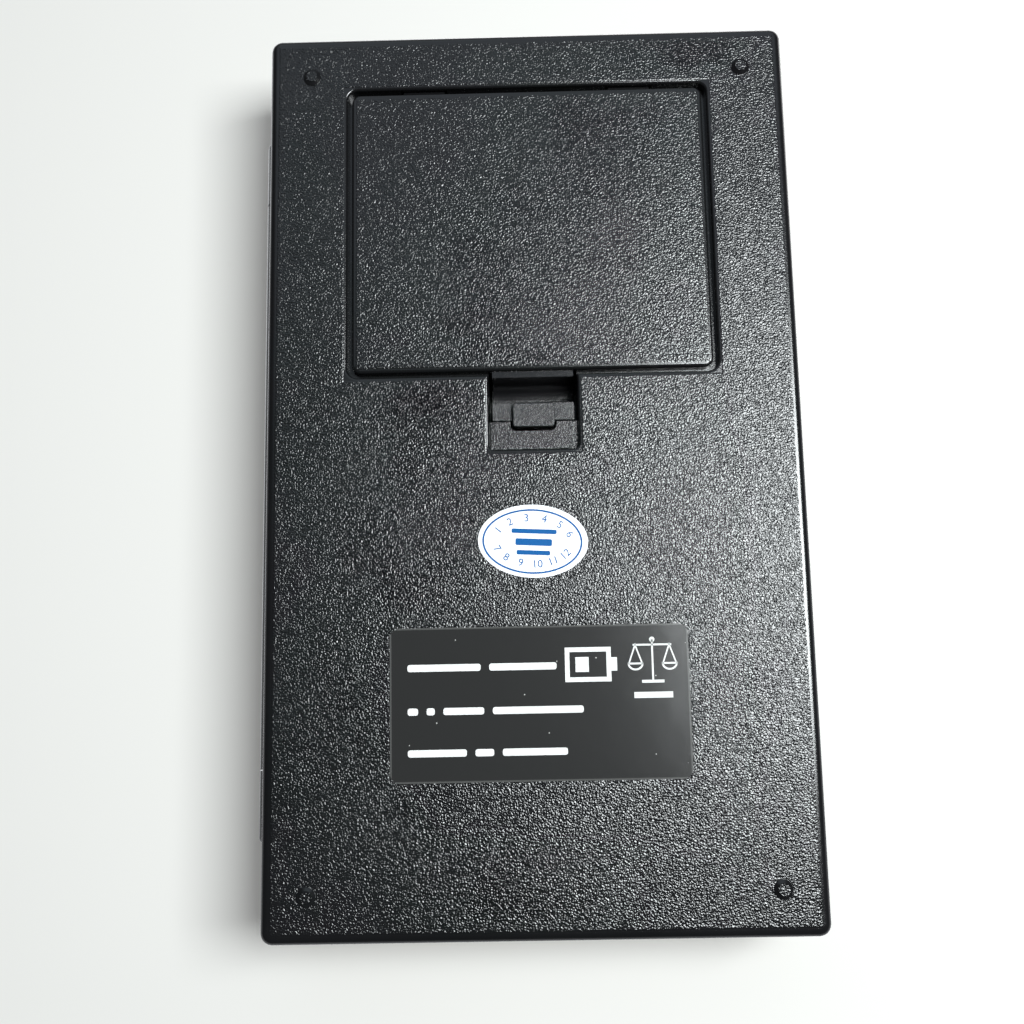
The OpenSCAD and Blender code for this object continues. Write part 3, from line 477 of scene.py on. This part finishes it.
class Print:
    """Flat printed shapes on one face, in millimetres from an origin on it, y towards the reader."""

    def __init__(self, name, body, slot, origin, material, from_below, turn=0.0):
        self.mesh = bmesh.new()
        self.name, self.body, self.slot = name, body, slot
        self.material = material
        # Seen from below, the reader is towards +Y; seen from above, towards -Y.
        flip = Matrix.Diagonal((1, 1 if from_below else -1, -1 if from_below else 1, 1))
        self.to_world = (Matrix.Translation(origin) @ flip @ Matrix.Rotation(turn, 4, "Z")
                         @ Matrix.Scale(MM, 4))

    def shape(self, points):
        """A filled outline, raised by the print's thickness."""
        low = [self.mesh.verts.new((x, y, 0)) for x, y in points]
        high = [self.mesh.verts.new((x, y, PRINT_T)) for x, y in points]
        self.mesh.faces.new(high)
        self.mesh.faces.new(low[::-1])
        for i, _ in enumerate(points):
            j = (i + 1) % len(points)
            self.mesh.faces.new((low[i], low[j], high[j], high[i]))

    def box(self, x0, y0, x1, y1, r=0.0):
        """A rectangle with rounded corners."""
        if r <= 0:
            self.shape([(x0, y0), (x1, y0), (x1, y1), (x0, y1)])
            return
        corners = ((x1 - r, y1 - r, 0), (x0 + r, y1 - r, 90), (x0 + r, y0 + r, 180), (x1 - r, y0 + r, 270))
        points = []
        for x, y, start in corners:
            points += [arc_point(x, y, r, r, start + step) for step in (0, 30, 60, 90)]
        self.shape(points)

    def line(self, points, width, closed=False):
        """A stroke of constant width along points, one quad per stretch, mitred where it turns."""
        count = len(points)
        left, right = [], []
        for i, point in enumerate(points):
            before = points[i - 1] if i or closed else point
            after = points[(i + 1) % count] if i < count - 1 or closed else point
            into = unit(before, point) or unit(point, after)
            out = unit(point, after) or unit(before, point)
            nx, ny = -(into[1] + out[1]), into[0] + out[0]
            size = math.hypot(nx, ny)
            nx, ny = nx / size, ny / size
            reach = width / 2 / max(0.3, nx * -into[1] + ny * into[0])
            left.append((point[0] + nx * reach, point[1] + ny * reach))
            right.append((point[0] - nx * reach, point[1] - ny * reach))
        for i in range(count if closed else count - 1):
            j = (i + 1) % count
            self.shape([left[i], left[j], right[j], right[i]])

    def ring(self, x, y, a, b, width, start=0, sweep=360, steps=48):
        """A stroke along an ellipse, or along part of it."""
        closed = sweep >= 360
        count = steps if closed else steps + 1
        self.line([arc_point(x, y, a, b, start + sweep * i / steps) for i in range(count)], width, closed)

    def disc(self, x, y, r, steps=32):
        self.shape([arc_point(x, y, r, r, 360 * i / steps) for i in range(steps)])

    def digits(self, text, x, y, size, degrees):
        """Numerals in the built-in font, centred on a point."""
        curve = bpy.data.curves.new("numeral", "FONT")
        curve.body = text
        curve.size = size
        curve.align_x = "CENTER"
        curve.align_y = "CENTER"
        curve.resolution_u = 3
        curve.extrude = PRINT_T / 2
        holder = bpy.data.objects.new("numeral", curve)
        bpy.context.scene.collection.objects.link(holder)
        bpy.context.view_layer.update()
        mesh = bpy.data.meshes.new_from_object(holder)
        upright = Matrix.Diagonal((1, -1, 1, 1))
        mesh.transform(Matrix.Translation((x, y, PRINT_T / 2))
                       @ Matrix.Rotation(math.radians(degrees), 4, "Z") @ upright)
        self.mesh.from_mesh(mesh)
        bpy.data.objects.remove(holder)
        bpy.data.curves.remove(curve)
        bpy.data.meshes.remove(mesh)

    def make(self):
        bmesh.ops.recalc_face_normals(self.mesh, faces=self.mesh.faces)
        self.mesh.transform(self.to_world)
        bmesh.ops.recalc_face_normals(self.mesh, faces=self.mesh.faces)
        data = bpy.data.meshes.new(self.name)
        self.mesh.to_mesh(data)
        self.mesh.free()
        data.materials.append(self.material)
        made = bpy.data.objects.new(self.name, data)
        bpy.context.scene.collection.objects.link(made)
        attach(made, self.body)


def unit(a, b):
    """The direction from one point to another, or None where they are the same."""
    length = math.hypot(b[0] - a[0], b[1] - a[1])
    return ((b[0] - a[0]) / length, (b[1] - a[1]) / length) if length > 1e-9 else None


def arc_point(x, y, a, b, degrees):
    angle = math.radians(degrees)
    return (x + a * math.cos(angle), y + b * math.sin(angle))


def face_middle(node, top):
    """The middle of a node's top or bottom face."""
    low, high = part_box(node)
    middle = (low + high) / 2
    return Vector((middle.x, middle.y, high.z if top else low.z))


WHITE_INK = ink("white_ink", (0.66, 0.66, 0.65, 1))
BLUE_INK = ink("blue_ink", (0.0, 0.078, 0.25, 1), 0.35)
SEGMENT_INK = ink("lcd_segment", (0.17, 0.195, 0.155, 1), 0.2)


def rating_print():
    """Plain bars for the lines of words, a battery sign, a balance sign and a short bar."""
    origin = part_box("rating_label")[0]
    p = Print("rating_label_print", "base", "label_film", origin, WHITE_INK, True)
    left, word_gap, bar_h = 2.4, 1.15, 0.95
    lines = ((5.4, (9.9, 9.1)), (11.2, (1.4, 1.1, 5.5, 12.2)), (16.7, (7.9, 2.5, 8.7)))
    for y, words in lines:
        x = left
        for width in words:
            p.box(x, y - bar_h / 2, x + width, y + bar_h / 2, 0.3)
            x += width + word_gap
    # Battery sign.
    x, y, w, h, stroke = 24.0, 5.3, 5.6, 4.0, 0.62
    p.line([(x, y - h / 2), (x + w, y - h / 2), (x + w, y + h / 2), (x, y + h / 2)], stroke, True)
    p.box(x + w + stroke / 2, y - 0.9, x + w + stroke / 2 + 0.8, y + 0.9)
    p.box(x + 1.1, y - 1.0, x + 2.9, y + 1.0)
    # Balance sign.
    x, y, thin = 35.5, 5.0, 0.24
    p.line([(x, y - 2.9), (x, y + 2.6)], thin)
    p.line([(x - 1.5, y + 2.7), (x + 1.5, y + 2.7)], thin * 1.6)
    p.line([(x - 2.6, y - 2.2), (x + 2.6, y - 2.2)], thin)
    p.disc(x, y - 2.9, 0.36)
    for side in (-1, 1):
        pan = x + side * 2.3
        p.line([(pan - 0.9, y + 0.3), (pan, y - 2.2), (pan + 0.9, y + 0.3)], thin * 0.8)
        p.ring(pan, y + 0.3, 0.95, 0.8, thin, 0, 180, 12)
        p.line([(pan - 1.05, y + 0.3), (pan + 1.05, y + 0.3)], thin)
    # Short bar under it.
    p.box(32.9, 9.1, 38.1, 9.9)
    p.make()


def sticker_print():
    """An oval ring with the numerals 1 to 12 inside it and plain bars in the middle."""
    origin = face_middle("inspection_sticker", False)
    p = Print("sticker_print", "base", "sticker_paper", origin, BLUE_INK, True, math.radians(3))
    p.ring(-0.1, 0.05, 6.75, 4.35, 0.24, steps=72)
    size, a, b = 1.5, 5.3, 3.2
    for number in range(1, 13):
        top = number <= 6
        angle = -155 + 27 * (number - 1) if top else 158 - 25.2 * (number - 7)
        x, y = arc_point(0, 0, a, b, angle)
        lean = math.degrees(math.atan2(y / b ** 2, x / a ** 2)) + (90 if top else -90)
        p.digits(str(number), x, y, size, lean)
    for y, w, h in ((-1.35, 6.2, 0.62), (0.15, 5.0, 0.95), (1.6, 4.6, 0.62)):
        p.box(-w / 2 + 0.1, y - h / 2, w / 2 + 0.1, y + h / 2, 0.2)
    p.make()


rating_print()
sticker_print()


def key_print(node, draw):
    p = Print(node + "_sign", node, "key_plastic", face_middle(node, True), WHITE_INK, False)
    draw(p)
    p.make()


def power_sign(p):
    p.ring(0, 0.15, 1.35, 1.35, 0.3, -60, 300, 40)
    p.box(-0.15, -1.75, 0.15, 0.1)


def mode_sign(p):
    """Two arrows that point opposite ways."""
    for side in (1, -1):
        p.line([(-1.7 * side, -0.55 * side), (1.5 * side, -0.55 * side)], 0.28)
        p.shape([(x * side, y * side) for x, y in ((1.2, -1.15), (2.1, -0.55), (1.2, 0.05))])


def tare_sign(p):
    """A zero between two arrows."""
    p.ring(0, 0, 0.75, 1.15, 0.3, steps=32)
    for side in (1, -1):
        p.line([(2.9 * side, 0), (1.9 * side, 0)], 0.28)
        p.shape([(x * side, y * side) for x, y in ((2.0, -0.6), (1.25, 0), (2.0, 0.6))])


def pieces_sign(p):
    for x, y in ((-1.3, 0.7), (0, 0.7), (1.3, 0.7), (-0.65, -0.55), (0.65, -0.55)):
        p.disc(x, y, 0.48, steps=20)


def light_sign(p):
    p.ring(0, 0, 0.75, 0.75, 0.28, steps=28)
    for step in range(8):
        p.line([arc_point(0, 0, 1.15, 1.15, 45 * step), arc_point(0, 0, 1.75, 1.75, 45 * step)], 0.24)


for node, draw in (("key_power", power_sign), ("key_mode", mode_sign), ("key_tare", tare_sign),
                   ("key_pieces", pieces_sign), ("key_light", light_sign)):
    key_print(node, draw)


def display_segments():
    """The unlit seven-bar figures of the display, just visible against its face."""
    p = Print("lcd_segments", "base", "lcd_glass", face_middle("lcd_glass", True), SEGMENT_INK, False)
    w, h, t, slant, pitch = 4.6, 9.4, 0.95, 0.09, 7.4
    for figure in range(5):
        cx = (figure - 2) * pitch - 1.0
        bars = [(-w / 2, -h / 2, w / 2, -h / 2), (-w / 2, 0, w / 2, 0), (-w / 2, h / 2, w / 2, h / 2)]
        for x in (-w / 2, w / 2):
            bars += [(x, end * h / 4 - h / 4, x, end * h / 4 + h / 4) for end in (-1, 1)]
        for x0, y0, x1, y1 in bars:
            if x0 == x1:
                y0, y1 = y0 + t * 0.6, y1 - t * 0.6
            else:
                x0, x1 = x0 + t * 0.6, x1 - t * 0.6
            p.line([(cx + x0 - slant * y0, y0), (cx + x1 - slant * y1, y1)], t)
        p.disc(cx + w / 2 + 1.35, h / 2, 0.5, steps=16)
    p.make()


display_segments()

# ---------- stage ----------

BOARD_WHITE = (0.47, 0.461, 0.442, 1)
BOARD_MARKS = (0.45, 0.44, 0.42, 1)
BOARD_HALF = 3.0                      # metres
FLOOR_GLOW, TABLE_GLOW = 0.95, 0.42   # stand for the light that the rest of a pale room throws on them


def pale_surface(name, glow):
    """Matt pale board, seen from its front only, so that the camera may also stand behind it."""
    g = Graph(name)
    place = g.place()
    marks = g.product(g.dust(place, 0.02, 0.02), 0.5)
    shade = g.mix(g.noise(place, 0.004, 3.0), BOARD_WHITE, shaded(BOARD_WHITE, 0.97))
    g.set(Base_Color=g.mix(marks, shade, BOARD_MARKS), Roughness=0.7)
    g.set(Specular_IOR_Level=0.2, Emission_Color=BOARD_WHITE, Emission_Strength=glow)
    either = g.node("MixShader")
    g.feed(either.inputs[0], g.node("NewGeometry").outputs["Backfacing"])
    g.feed(either.inputs[1], g.shader.outputs[0])
    g.feed(either.inputs[2], g.node("BsdfTransparent").outputs[0])
    g.feed(g.output.inputs["Surface"], either.outputs[0])
    return g.material


def stage_board(name, z, faces_up, glow):
    half = BOARD_HALF
    corners = [(-half, -half, z), (half, -half, z), (half, half, z), (-half, half, z)]
    data = bpy.data.meshes.new(name)
    data.from_pydata(corners, [], [(0, 1, 2, 3) if faces_up else (3, 2, 1, 0)])
    data.materials.append(pale_surface(name + "_paint", glow))
    board = bpy.data.objects.new(name, data)
    bpy.context.scene.collection.objects.link(board)
    board.visible_shadow = False
    board.visible_diffuse = False
    board.visible_glossy = False
    board.visible_transmission = False


stage_board("floor", CAD_LOW.z - 0.02 * MM, True, FLOOR_GLOW)
stage_board("table_under_cover", TOP_Z + 0.05 * MM, False, TABLE_GLOW)


def area_light(name, at, size, power, colour):
    """A light that faces the origin and that the camera doesn't see."""
    data = bpy.data.lights.new(name, "AREA")
    data.shape = "RECTANGLE"
    data.size, data.size_y = size
    data.energy = power
    data.color = colour
    light = bpy.data.objects.new(name, data)
    light.location = at
    light.rotation_mode = "QUATERNION"
    light.rotation_quaternion = (-Vector(at)).to_track_quat("-Z", "Y")
    light.visible_camera = False
    bpy.context.scene.collection.objects.link(light)


# Under the scale: one window to the right.
area_light("window_right", (0.195, -0.032, -0.41), (0.18, 0.24), 4.2, (0.94, 0.99, 1.0))
# Above it, for the views from the sides and the top.
area_light("key_above", (0.38, -0.62, 0.60), (1.1, 1.1), 5.5, (1.0, 0.985, 0.96))
area_light("fill_above", (-0.30, -0.48, 0.75), (1.2, 1.2), 3.2, (0.95, 0.975, 1.0))

ROOM_LIGHT = (0.95, 0.97, 1.0, 1)
PATCH_LIGHT = (0.78, 0.89, 1.0, 1)
PATCH_DIRECTION = (0, -0.72, -0.70)
SEEN_WHITE = (0.90, 0.90, 0.89, 1)
GLIMMER = 0.03                        # what is left of each light where it is dark


def studio_world():
    """A pale room above, and below it darkness but for a cool patch towards the front.

    Seen directly, it is white all round.
    """
    world = bpy.data.worlds.new("studio")
    world.use_nodes = True
    nodes, links = world.node_tree.nodes, world.node_tree.links

    def step(source, start, end, high):
        made = nodes.new("ShaderNodeMapRange")
        made.interpolation_type = "SMOOTHSTEP"
        links.new(source, made.inputs["Value"])
        for socket, number in zip(list(made.inputs)[1:5], (start, end, GLIMMER, high)):
            socket.default_value = number
        return made.outputs["Result"]

    def light(colour, strength=None):
        made = nodes.new("ShaderNodeBackground")
        made.inputs["Color"].default_value = colour
        if strength is not None:
            links.new(strength, made.inputs["Strength"])
        return made.outputs[0]

    direction = nodes.new("ShaderNodeTexCoord").outputs["Generated"]
    split = nodes.new("ShaderNodeSeparateXYZ")
    links.new(direction, split.inputs[0])
    away = nodes.new("ShaderNodeVectorMath")
    away.operation = "DISTANCE"
    links.new(direction, away.inputs[0])
    away.inputs[1].default_value = PATCH_DIRECTION
    room = nodes.new("ShaderNodeAddShader")
    links.new(light(ROOM_LIGHT, step(split.outputs["Z"], -0.05, 0.25, 0.60)), room.inputs[0])
    links.new(light(PATCH_LIGHT, step(away.outputs["Value"], 0.78, 0.36, 0.70)), room.inputs[1])
    seen = nodes.new("ShaderNodeMixShader")
    links.new(nodes.new("ShaderNodeLightPath").outputs["Is Camera Ray"], seen.inputs[0])
    links.new(room.outputs[0], seen.inputs[1])
    links.new(light(SEEN_WHITE), seen.inputs[2])
    links.new(seen.outputs[0], nodes["World Output"].inputs["Surface"])
    bpy.context.scene.world = world


studio_world()
bpy.context.scene.view_settings.view_transform = "Standard"
